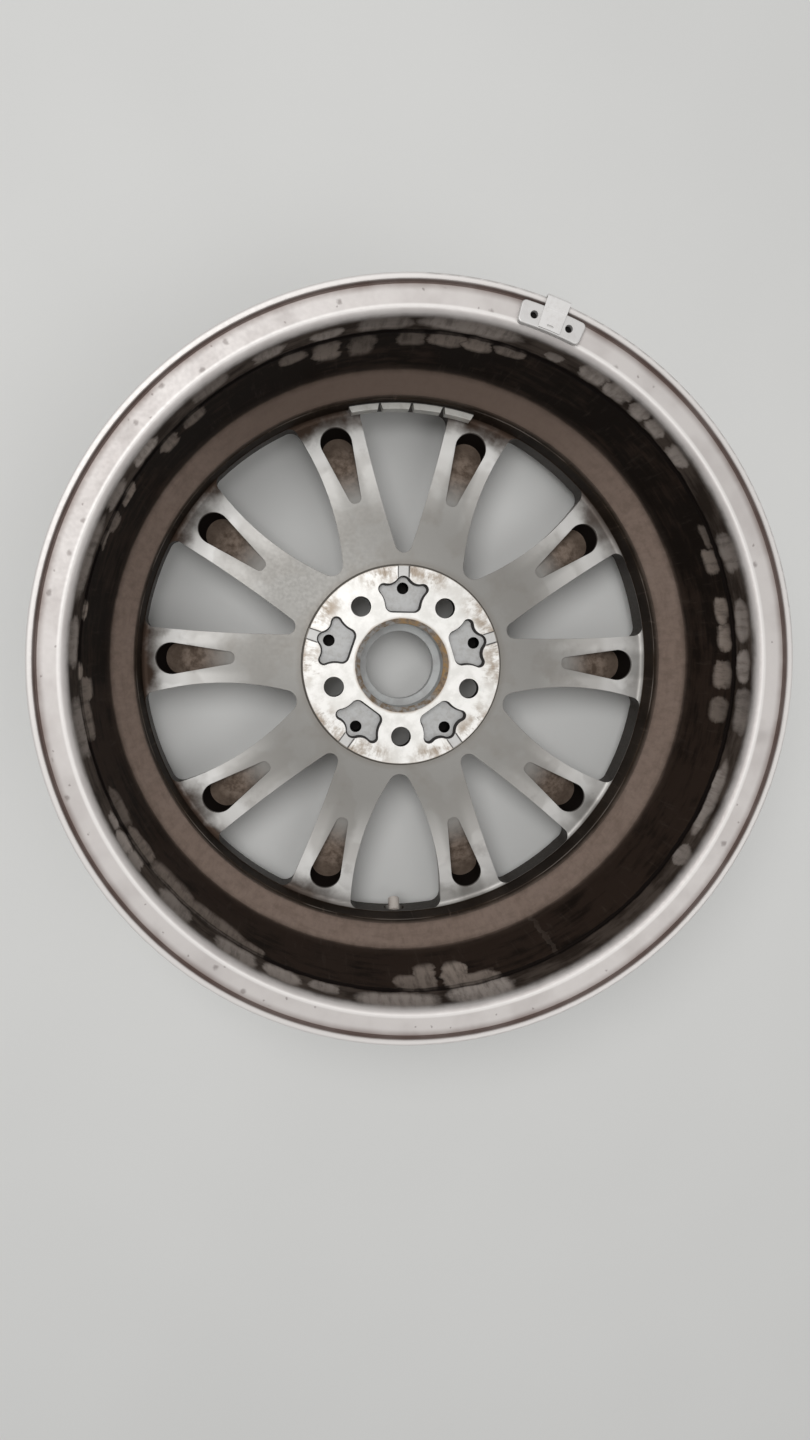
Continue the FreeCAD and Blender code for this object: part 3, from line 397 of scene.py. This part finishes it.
def barrel_colour(graph, point, angle, depth):
    """Inside the barrel: a grey mouth, brown brake dust with finger wipes, a taupe cone, a dark wall."""
    streaks = graph.noise(graph.stretch(point, 1.0, 1.0, 0.1), 4.0, 4.0, 0.6)
    drawn = graph.noise(graph.stretch(point, 0.3, 0.3, 1.0), 7.0, 4.0, 0.6)
    clouds = graph.noise(graph.stretch(point, 1.0, 1.0, 0.5), 34.0, 4.0, 0.6)
    fine = graph.noise(graph.stretch(point, 1.0, 1.0, 0.35), 5.0, 5.0, 0.65)
    warp = graph.less(graph.noise(point, 12.0, 3.0), 0.5)
    turn = graph.math("FLOORED_MODULO", graph.less(angle, WIPE_SEAM), 360.0)
    turn = graph.add(turn, graph.times(warp, 3.0))
    sunk = graph.add(depth, graph.times(warp, 8.0))
    uneven = graph.add(streaks, graph.times(graph.less(fine, 0.5), 0.8))
    patchy = graph.rise(uneven, 0.2, 0.62, 0.5, 1.0)

    mouth = graph.mix(graph.rise(graph.add(drawn, clouds), 0.8, 1.2), MOUTH_DARK, MOUTH_GREY)
    upper = graph.times(wipe_marks(graph, turn, sunk, UPPER_WIPES), patchy)
    mouth = graph.mix(upper, mouth, UPPER_WIPED)
    # Painted shade: the film and the cone are darker towards the top of the picture
    topward = graph.math("SINE", graph.times(angle, DEGREE))
    dust = graph.add(graph.add(drawn, clouds), graph.rise(topward, -0.9, 0.9, 0.2, -0.1))
    film = graph.mix(graph.rise(dust, 0.85, 1.25), FILM, FILM_PALE)
    film = graph.mix(graph.times(graph.rise(streaks, 0.55, 0.8), 0.3), film, MOUTH_GREY)
    lower = graph.times(wipe_marks(graph, turn, sunk, LOWER_WIPES), patchy)
    film = graph.mix(lower, film, LOWER_WIPED)
    edge = graph.add(depth, graph.times(warp, 5.0))
    colour = graph.mix(graph.rise(edge, STEP_DEPTH - 4.0, STEP_DEPTH - 1.0), mouth, film)
    line = graph.band(edge, STEP_DEPTH - 1.8, STEP_DEPTH + 0.8, 2.2)
    kept = graph.less(graph.rise(clouds, 0.25, 0.5, 0.7, 0.95), graph.times(lower, 0.6))
    colour = graph.mix(graph.times(line, kept), colour, LINE_GRIME)
    # Painted highlight: the silver of the face fades down over the rounded mouth
    shine = graph.math("POWER", graph.rise(edge, FACE_DEPTH + 0.6, FACE_DEPTH + 11.0, 1.0, 0.0), 2.0)
    colour = graph.mix(shine, colour, FACE_SILVER)

    taupe = graph.mix(graph.rise(fine, 0.35, 0.75, 0.0, 0.6), TAUPE, TAUPE_DARK)
    taupe = graph.mix(graph.rise(clouds, 0.42, 0.75, 0.0, 0.4), taupe, TAUPE_PALE)
    taupe = graph.mix(graph.times(graph.rise(streaks, 0.5, 0.75), 0.35), taupe, TAUPE_DARK)
    taupe = graph.mix(graph.times(graph.rise(drawn, 0.48, 0.68), 0.4), taupe, TAUPE_DARK)
    taupe = graph.mix(graph.rise(topward, 0.55, 0.95, 0.0, 0.8), taupe, TAUPE_DARK)
    colour = graph.mix(graph.rise(edge, BARREL_DEPTH - 16.0, BARREL_DEPTH - 2.0, 0.0, 0.08), colour, TAUPE)
    colour = graph.mix(graph.rise(edge, BARREL_DEPTH - 6.0, BARREL_DEPTH + 5.0), colour, taupe)
    wall = graph.mix(graph.rise(clouds, 0.35, 0.7), WALL_GRIME, WALL_PALE)
    wall = graph.mix(graph.times(graph.rise(streaks, 0.58, 0.75), 0.5), wall, TAUPE_DARK)
    wall = graph.mix(graph.rise(depth, TURNED_DEPTH - 4.0, TURNED_DEPTH + 8.0, 0.0, 0.6), wall, FILM)
    colour = graph.mix(graph.rise(edge, CONE_DEPTH - 4.0, CONE_DEPTH + 9.0), colour, wall)
    wear = graph.rise(graph.noise(point, 60.0, 2.0), 0.48, 0.66)
    worn = graph.band(depth, TURNED_DEPTH, TURNED_DEPTH + 0.6, 0.35)
    return graph.mix(graph.times(worn, wear, 0.4), colour, EDGE_WEAR)


def off_centre(graph, angle, centre):
    """Degrees to the nearest of five places round the wheel, below zero before it and above zero after it."""
    turned = graph.math("FLOORED_MODULO", graph.add(angle, SPOKE_PITCH / 2 - centre), SPOKE_PITCH)
    return graph.less(turned, SPOKE_PITCH / 2)


def across_spoke(graph, angle, radius):
    """Distance in millimetres from the middle line of a spoke, above zero towards the wide window."""
    from_window = graph.math("ABSOLUTE", off_centre(graph, angle, STAR_ANGLE))
    off_spoke = graph.times(graph.less(from_window, SPOKE_PITCH / 4), DEGREE)
    return graph.times(graph.math("SINE", off_spoke), radius)


def spoke_colour(graph, point, across, angle, radius, upward):
    """Silver paint, dull beside the hub, with a painted highlight and glint along the rails, brown with dust
    at the rim and darker towards the upper left, and painted shade on the window walls.
    """
    clouds = graph.noise(point, 46.0, 3.0, 0.5)
    smears = graph.noise(point, 22.0, 4.0, 0.55)
    rail = graph.rise(graph.math("ABSOLUTE", graph.add(across, RAIL_SHIFT)), *RAIL_SIDES, 0.45, 1.0)
    # Painted highlight: the rails grow lighter towards the rim
    paint = graph.mix(graph.times(graph.rise(radius, *RAIL_HIGHLIGHT_RADII), rail), SPOKE_GREY, SPOKE_BRIGHT)
    # Painted glint on the rails near the rim
    shine = graph.times(graph.band(radius, *SPOKE_GLINTS, 11.0), rail)
    shine = graph.times(shine, graph.rise(clouds, 0.3, 0.6, 0.3, 1.0))
    paint = graph.mix(shine, paint, SPOKE_GLINT)
    paint = graph.mix(graph.times(graph.rise(clouds, 0.47, 0.53), 0.22), paint, SPOKE_SMUDGE)
    paint = graph.mix(graph.times(graph.rise(smears, 0.56, 0.72), 0.3), paint, SPOKE_SMUDGE)
    foot = graph.rise(radius, PAD_FOOT, PAD_FOOT + 6.0, 0.5, 0.0)
    paint = graph.mix(foot, paint, SPOKE_SMUDGE)
    dirt_edge = graph.add(radius, graph.times(graph.less(smears, 0.5), 30.0))
    # The brown at the rim is darker towards the upper left of the picture
    toward_dark_roots = graph.math("COSINE", graph.times(graph.less(angle, DARK_ROOTS_ANGLE), DEGREE))
    dirt = graph.rise(dirt_edge, *SPOKE_BROWNS)
    dirt = graph.times(dirt, graph.rise(toward_dark_roots, -0.75, -0.1, 0.25, 1.0))
    paint = graph.mix(dirt, paint, ROOT_STAIN_AND_WALL_SHADE)
    # Painted shade on the window walls, which face sideways; near the rim it is grime as well as painted
    # shade
    side = graph.rise(upward, 0.25, 0.7, 1.0, 0.0)
    paint = graph.mix(graph.times(side, 0.5), paint, ROOT_STAIN_AND_WALL_SHADE)
    return graph.mix(graph.times(side, graph.rise(radius, *WINDOW_WALL)), paint, WALL_GRIME)


def pocket_mask(graph, across, radius, height):
    """The teardrop pockets: below the back of a spoke and near its middle line."""
    half = graph.rise(radius, *POCKET_TAPER, *POCKET_HALVES)
    near = graph.math("LESS_THAN", graph.math("ABSOLUTE", graph.add(across, POCKET_SHIFT)), half)
    slope = (SPOKE_ROOT_DEPTH - PAD_HEIGHT) / (WALL_RADIUS - PAD_FOOT)
    back = graph.less(-PAD_HEIGHT, graph.times(graph.less(radius, PAD_FOOT), slope))
    sunk = graph.rise(graph.less(back, height), 0.2, 2.2)
    return graph.times(near, sunk, graph.band(radius, *POCKET_ENDS, 1.0))


def pocket_colour(graph, point, radius, upward):
    """Dust on the floor of a pocket, paler towards the hub and darker towards the rim, and walls in painted
    shade and dust.
    """
    dusty = graph.noise(point, 7.0, 4.0, 0.65)
    floor = graph.mix(graph.rise(dusty, 0.32, 0.68), POCKET_DARK, POCKET_DUST)
    floor = graph.mix(graph.rise(radius, *POCKET_PALES, 0.9, 0.0), floor, SPOKE_GREY)
    floor = graph.mix(graph.rise(radius, *POCKET_DARKENS, 0.0, 0.75), floor, POCKET_DARK)
    # Painted shade, with dust, on the walls of the pocket
    return graph.mix(graph.rise(upward, 0.5, 0.85, 1.0, 0.0), floor, POCKET_SHADOW)


def pad_colour(graph, point, angle, radius):
    """Bright machined metal, stained brown between the star pockets and the edge and round the bore."""
    strokes = graph.noise(graph.vector(graph.times(angle, 1.4), graph.times(radius, 0.3)), 2.4, 5.0, 0.7)
    patches = graph.noise(point, 13.0, 4.0, 0.6)
    from_star = graph.math("ABSOLUTE", off_centre(graph, angle, STAR_ANGLE))
    beside_star = graph.rise(from_star, 20.0, 33.0, 1.0, 0.12)
    outer = graph.times(graph.rise(radius, PAD_RADIUS - 18.2, PAD_RADIUS - 6.2), beside_star)
    stained = graph.times(graph.rise(graph.add(patches, graph.times(strokes, 0.4)), 0.58, 0.86), outer)
    pad = graph.mix(graph.rise(patches, 0.38, 0.64, 0.0, 0.5), MACHINED, MACHINED_DULL)
    pad = graph.mix(graph.times(stained, 0.8), pad, STAIN)
    pad = graph.mix(graph.times(graph.rise(strokes, 0.56, 0.72), outer, 0.55), pad, SCORE)
    from_bore = graph.add(radius, graph.times(patches, 4.0))
    ring = graph.rise(from_bore, BORE_EDGE + 1.0, BORE_EDGE + 4.0, 0.85, 0.0)
    pad = graph.mix(ring, pad, STAIN)
    rim = graph.rise(radius, PAD_RADIUS - 1.0, PAD_RADIUS - 0.2, 0.0, 0.3)
    return graph.mix(rim, pad, STAIN)


def hub_colour(graph, point, angle, radius, height, upward):
    """The machined pad, the grey star pockets with painted shade and dirt on their walls, the stud holes
    painted dark as shade, and the stained bore.
    """
    patches = graph.noise(point, 15.0, 4.0, 0.6)
    residue = graph.noise(point, 5.0, 4.0, 0.7)
    floor = graph.mix(graph.rise(residue, 0.4, 0.7, 0.0, 0.35), STAR_GREY, SPOKE_SMUDGE)
    # Painted shade, with dirt, on the walls of the star pockets
    recess = graph.mix(graph.rise(upward, 0.6, 0.95, 1.0, 0.0), floor, STAR_WALL_SHADE_AND_DIRT)
    # The stud holes and the small core holes are painted dark as their shade
    stud = graph.math("LESS_THAN", graph.math("ABSOLUTE", off_centre(graph, angle, STUD_ANGLE)), 13.0)
    recess = graph.mix(stud, recess, HOLE_SHADE)
    core_hole = graph.rise(height, -STAR_DEPTH - 0.8, -STAR_DEPTH - 0.2, 1.0, 0.0)
    recess = graph.mix(core_hole, recess, HOLE_SHADE)
    vent = graph.times(graph.rise(height, 1.0 - STAR_DEPTH, 2.0 - STAR_DEPTH), graph.rise(upward, 0.6, 0.95))
    recess = graph.mix(graph.times(vent, 0.4), recess, SPOKE_BRIGHT)
    sunk = graph.rise(height, -0.5, -0.15, 1.0, 0.0)
    colour = graph.mix(sunk, pad_colour(graph, point, angle, radius), recess)
    off_vent = graph.times(off_centre(graph, angle, STAR_ANGLE), DEGREE)
    off_vent = graph.math("ABSOLUTE", graph.times(graph.math("SINE", off_vent), radius))
    # A line of painted shade and dirt along the edges of the vents
    vent_edge = graph.band(off_vent, VENT_HALF - 0.5, VENT_HALF + 0.3, 0.3)
    vent_edge = graph.times(vent_edge, graph.rise(radius, VENT_START - 1.0, VENT_START), 0.75)
    colour = graph.mix(vent_edge, colour, STAR_WALL_SHADE_AND_DIRT)
    colour = graph.mix(graph.rise(radius, PAD_RADIUS - 0.4, PAD_RADIUS - 0.1), colour, SPOKE_SMUDGE)
    gold_side = graph.either(*[graph.band(angle, *side) for side in GOLD_SIDES])
    bore = graph.mix(graph.rise(residue, 0.35, 0.65), BORE_BROWN, STAR_GREY)
    bore = graph.mix(graph.times(gold_side, graph.rise(residue, 0.4, 0.6, 0.0, 0.8)), bore, GOLD)
    ledge = graph.mix(graph.rise(patches, 0.35, 0.7), LEDGE_GREY, STAR_GREY)
    bore = graph.mix(graph.rise(height, -BORE_CHAMFER - 2.5, -BORE_CHAMFER, 1.0, 0.0), bore, ledge)
    return graph.mix(graph.rise(radius, BORE_EDGE - 0.25, BORE_EDGE + 0.15, 1.0, 0.0), colour, bore)


def flange_colour(graph, point, angle, radius, height):
    """The lip with a painted highlight, the line of dirt and painted shade behind it, and the pale face with
    its pits and a painted highlight on its inner edge.
    """
    clouds = graph.noise(point, 30.0, 3.0, 0.5)
    face = graph.mix(graph.rise(clouds, 0.4, 0.7, 0.0, 0.7), FACE_SILVER, FACE_CLOUD)
    warp = graph.times(graph.less(graph.noise(point, 3.0, 3.0), 0.5), 3.0)
    along = graph.times(angle, FACE_INNER * DEGREE)
    flat = graph.vector(graph.add(along, warp), graph.add(radius, warp))
    marks = graph.either(graph.spots(flat, 23.0, 2.6, 0.4), graph.spots(flat, 11.0, 1.0, 0.25))
    rubbed = graph.times(graph.spots(flat, 37.0, 12.0, 0.4), graph.rise(clouds, 0.4, 0.6, 0.0, 0.4))
    on_face = graph.band(radius, FACE_INNER + 1.0, GROOVE_INNER - 2.0, 1.0)
    face = graph.mix(graph.times(graph.either(marks, rubbed), on_face, 0.6), face, PIT)
    # Painted highlight on the lip, and on the face's inner edge
    face = graph.mix(graph.rise(radius, GROOVE_OUTER - 0.5, GROOVE_OUTER + 1.5), face, FACE_HIGHLIGHT)
    face = graph.mix(graph.band(radius, FACE_INNER - 0.6, FACE_INNER + 0.4, 1.4), face, FACE_HIGHLIGHT)
    # Painted shade on the face beside the groove
    shade = graph.rise(radius, GROOVE_INNER - 4.5, GROOVE_INNER + 0.5)
    shade = graph.times(shade, graph.rise(clouds, 0.3, 0.7, 0.5, 0.75))
    shade = graph.times(shade, graph.rise(radius, GROOVE_INNER, GROOVE_OUTER, 1.0, 0.0))
    face = graph.mix(shade, face, GROOVE_DIRT_AND_SHADE)
    # Dirt and painted shade in the groove
    in_groove = graph.band(radius, GROOVE_INNER + 0.4, GROOVE_OUTER - 0.5, 0.9)
    sunk = graph.rise(height, TOP - 1.2, TOP - 0.2, 1.0, 0.0)
    uneven = graph.rise(clouds, 0.3, 0.7, 0.8, 0.95)
    face = graph.mix(graph.times(in_groove, sunk, uneven), face, GROOVE_DIRT_AND_SHADE)
    # Painted shade of the clip's holes on the face under the clip-on weight
    clip_hole_shade = graph.band(angle, CLIP_ANGLE - CLIP_HALF, CLIP_ANGLE + CLIP_HALF, 0.3)
    clip_hole_shade = graph.times(clip_hole_shade, on_face)
    return graph.mix(clip_hole_shade, face, HOLE_SHADE)


def tyre_side_colour(graph, point, height):
    """The outside of the barrel, with rubber marks on the seats."""
    clouds = graph.noise(graph.stretch(point, 1.0, 1.0, 3.0), 40.0, 4.0, 0.6)
    paint = graph.mix(graph.rise(clouds, 0.35, 0.7, 0.0, 0.4), SILVER, SPOKE_GREY)
    seats = graph.either(graph.band(height, *REAR_SEAT, 5.0), graph.band(height, *FRONT_SEAT, 5.0))
    return graph.mix(graph.times(seats, graph.rise(clouds, 0.36, 0.6, 0.1, 0.35)), paint, RUBBER_MARK)


def front_colour(graph, point, radius):
    """Plain silver paint with faint clouds, and a little dust in the corner behind the lip."""
    clouds = graph.noise(point, 55.0, 4.0, 0.55)
    paint = graph.mix(graph.rise(clouds, 0.35, 0.7, 0.0, 0.35), SILVER, SPOKE_GREY)
    return graph.mix(graph.times(graph.band(radius, *LIP_CORNER, 4.0), 0.25), paint, SPOKE_SMUDGE)


def wheel_material():
    """The finish of the whole casting, put together from its zones."""
    graph = Graph("cast_alloy", Specular_IOR_Level=0.06)
    point, x, y, height = graph.place()
    turn_x, turn_y, upward = graph.normal()
    radius = graph.math("SQRT", graph.add(graph.times(x, x), graph.times(y, y)))
    angle = graph.times(graph.math("ARCTAN2", y, x), 1 / DEGREE)
    depth = graph.less(TOP, height)
    outward = graph.math("DIVIDE", graph.add(graph.times(x, turn_x), graph.times(y, turn_y)), radius)

    # Masks of the zones
    hub = graph.rise(radius, PAD_FOOT - 0.1, PAD_FOOT + 0.1, 1.0, 0.0)
    pad = graph.rise(radius, PAD_RADIUS - 0.2, PAD_RADIUS, 1.0, 0.0)
    pad = graph.times(graph.rise(height, -0.3, -0.1), pad)
    across = across_spoke(graph, angle, radius)
    pocket = pocket_mask(graph, across, radius, height)
    barrel = graph.rise(height, 2.4 - SPOKE_ROOT_DEPTH, 3.2 - SPOKE_ROOT_DEPTH)
    barrel = graph.times(graph.rise(radius, WALL_RADIUS - 3.8, WALL_RADIUS - 0.8), barrel)
    flange = graph.rise(depth, FACE_DEPTH + 0.8, FACE_DEPTH + 2.6, 1.0, 0.0)
    outside = graph.rise(radius, WALL_RADIUS - 0.8, WALL_RADIUS + 1.2)
    outside = graph.times(graph.rise(outward, 0.02, 0.12), outside)
    outside = graph.either(outside, graph.rise(radius, FACE_INNER + 1.0, FACE_INNER + 2.5))
    tyre_side = graph.times(outside, graph.rise(depth, FACE_DEPTH + 1.6, FACE_DEPTH + 2.6))
    front = graph.rise(upward, -0.3, -0.1, 1.0, 0.0)
    front = graph.times(front, graph.rise(height, *FRONT_STARTS, 1.0, 0.0))

    colour = spoke_colour(graph, point, across, angle, radius, upward)
    colour = graph.mix(pocket, colour, pocket_colour(graph, point, radius, upward))
    colour = graph.mix(hub, colour, hub_colour(graph, point, angle, radius, height, upward))
    colour = graph.mix(barrel, colour, barrel_colour(graph, point, angle, depth))
    colour = graph.mix(flange, colour, flange_colour(graph, point, angle, radius, height))
    colour = graph.mix(tyre_side, colour, tyre_side_colour(graph, point, height))
    colour = graph.mix(front, colour, front_colour(graph, point, radius))

    # Dull where it is dirty, glossy where it is clean, turned lines on the pad and a fine grain elsewhere
    dirty = graph.either(pocket, graph.times(barrel, graph.rise(depth, 6.0, 12.0)))
    grain = graph.noise(point, 2.6, 2.0, 0.5)
    roughness = graph.blend(dirty, graph.rise(grain, 0.3, 0.7, *CLEAN_ROUGHNESS), DIRTY_ROUGHNESS)
    roughness = graph.blend(pad, roughness, graph.rise(grain, 0.3, 0.7, *PAD_ROUGHNESS))
    metallic = graph.blend(dirty, CLEAN_METALLIC, 0.0)
    turned_lines = graph.math("SINE", graph.times(radius, LINE_WAVES))
    relief = graph.blend(pad, grain, graph.times(turned_lines, 0.3))
    return graph.finish(colour, roughness, graph.bump(relief, RELIEF), metallic)


# The finishes of the small pieces


def coated_material(name, colour, worn, size):
    """A pale coating with light scuffs, for the balance weights and their clip."""
    graph = Graph(name, Metallic=0.2)
    point = graph.place()[0]
    scuffs = graph.rise(graph.noise(point, size, 4.0, 0.65), 0.45, 0.75)
    grain = graph.noise(point, 0.8, 3.0)
    tint = graph.mix(graph.times(scuffs, 0.3), colour, worn)
    return graph.finish(tint, graph.rise(scuffs, 0.0, 1.0, 0.36, 0.5), graph.bump(grain, 0.02, 0.3))


def turned_material(name, colour, worn, metallic):
    """Turned or drawn metal with fine lines and a little dust."""
    graph = Graph(name, Metallic=metallic)
    point = graph.place()[0]
    lines = graph.noise(graph.stretch(point, 0.3, 1.0, 4.0), 1.2, 3.0)
    dust = graph.rise(graph.noise(point, 4.0, 4.0, 0.6), 0.45, 0.7, 0.0, 0.7)
    tint = graph.mix(dust, colour, worn)
    return graph.finish(tint, graph.rise(lines, 0.3, 0.7, 0.28, 0.45), graph.bump(lines, 0.04, 0.3))


def moulded_material(name, colour, dust_colour):
    """Rubber, plastic or foam with a fine grain and dust on it."""
    graph = Graph(name)
    point = graph.place()[0]
    grain = graph.noise(point, 0.7, 4.0, 0.7)
    dust = graph.rise(graph.noise(point, 3.5, 4.0, 0.6), 0.48, 0.75, 0.0, 0.6)
    tint = graph.mix(dust, colour, dust_colour)
    return graph.finish(tint, graph.rise(grain, 0.3, 0.7, 0.55, 0.8), graph.bump(grain, 0.08, 0.3))


def dress_nodes():
    """Gives each piece of the part its material."""
    valve_metal = turned_material("valve_metal", srgb(206, 200, 194), srgb(140, 122, 110), 0.6)
    weight = coated_material("stick_weight", srgb(196, 194, 188), srgb(132, 124, 116), 7.0)
    looks = {
        "wheel": wheel_material(),
        "valve_stem": valve_metal,
        "valve_washer": valve_metal,
        "valve_nut": valve_metal,
        "valve_grommet": moulded_material("valve_rubber", srgb(38, 37, 37), srgb(92, 82, 74)),
        "valve_cap": moulded_material("valve_cap", srgb(206, 198, 190), srgb(140, 116, 104)),
        "valve_core": turned_material("valve_core", srgb(190, 154, 92), srgb(120, 100, 70), 0.9),
        "weight_block_1": weight,
        "weight_block_2": weight,
        "weight_block_3": weight,
        "weight_block_4": weight,
        "weight_tape": moulded_material("weight_tape", srgb(70, 68, 66), srgb(110, 100, 92)),
        "clip_weight": coated_material("clip_weight", srgb(204, 202, 200), srgb(150, 144, 140), 6.0),
        "spring_clip": coated_material("clip_steel", srgb(216, 214, 212), srgb(164, 158, 154), 4.0),
    }
    for name, material in looks.items():
        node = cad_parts[name]
        node.data.materials.clear()
        node.data.materials.append(material)


# Floor, light and camera


def floor():
    """A plain pale square under the part."""
    half = 4.0
    mesh = bpy.data.meshes.new("floor")
    z = cad_box[0][2]
    corners = [(-half, -half, z), (half, -half, z), (half, half, z), (-half, half, z)]
    mesh.from_pydata(corners, [], [(0, 1, 2, 3)])
    plane = bpy.data.objects.new("floor", mesh)
    bpy.context.scene.collection.objects.link(plane)
    graph = Graph("floor", Specular_IOR_Level=0.2)
    point = graph.place()[0]
    colour = graph.mix(graph.noise(point, 300.0, 2.0), srgb(212, 212, 210), srgb(220, 220, 218))
    mesh.materials.append(graph.finish(colour, 0.8))


def area_light(name, place, size, energy):
    """A round lamp turned to the middle of the part."""
    lamp = bpy.data.lights.new(name, "AREA")
    lamp.shape = "DISK"
    lamp.size = size
    lamp.energy = energy
    light = bpy.data.objects.new(name, lamp)
    light.location = place
    light.rotation_euler = (-Vector(place)).to_track_quat("-Z", "Y").to_euler()
    bpy.context.scene.collection.objects.link(light)


def studio():
    """White light from all round, a soft key lamp and a weaker fill lamp."""
    world = bpy.data.worlds.new("studio")
    bpy.context.scene.world = world
    world.use_nodes = True
    background = world.node_tree.nodes["Background"]
    background.inputs["Color"].default_value = (1.0, 1.0, 1.0, 1.0)
    background.inputs["Strength"].default_value = 0.4
    area_light("key", (-0.42, 0.45, 1.85), size=1.0, energy=18.0)
    area_light("fill", (0.6, -0.5, 1.9), size=1.2, energy=7.0)


# The camera was found from the photograph: turns about X, Y and Z in radians, then a shift in millimetres
# from the middle of the wheel's upper edge, and the focal length in the photograph's pixels.
CAMERA_TURNS = (0.09429812, 0.10520008, -0.01840177)
CAMERA_SHIFT = (13.3159, 29.6445, -595.0148)
FOCAL_PIXELS = 927.1233
IMAGE_LONG_SIDE = 1440
SENSOR = 36.0


def camera():
    """The photograph's own view."""
    turn_x, turn_y, turn_z = CAMERA_TURNS
    turn = Matrix.Rotation(turn_x, 3, "X") @ Matrix.Rotation(turn_y, 3, "Y")
    turn = turn @ Matrix.Rotation(turn_z, 3, "Z")
    back = turn.transposed()
    place = -(back @ Vector(CAMERA_SHIFT)) + Vector((0, 0, TOP))
    data = bpy.data.cameras.new("camera")
    data.sensor_fit = "AUTO"
    data.sensor_width = SENSOR
    data.lens = FOCAL_PIXELS * SENSOR / IMAGE_LONG_SIDE
    data.clip_start = 0.01
    view = bpy.data.objects.new("camera", data)
    view.matrix_world = Matrix.Translation(place * MM) @ back.to_4x4()
    bpy.context.scene.collection.objects.link(view)
    bpy.context.scene.camera = view


dress_nodes()
floor()
studio()
camera()
bpy.context.scene.view_settings.view_transform = "Standard"
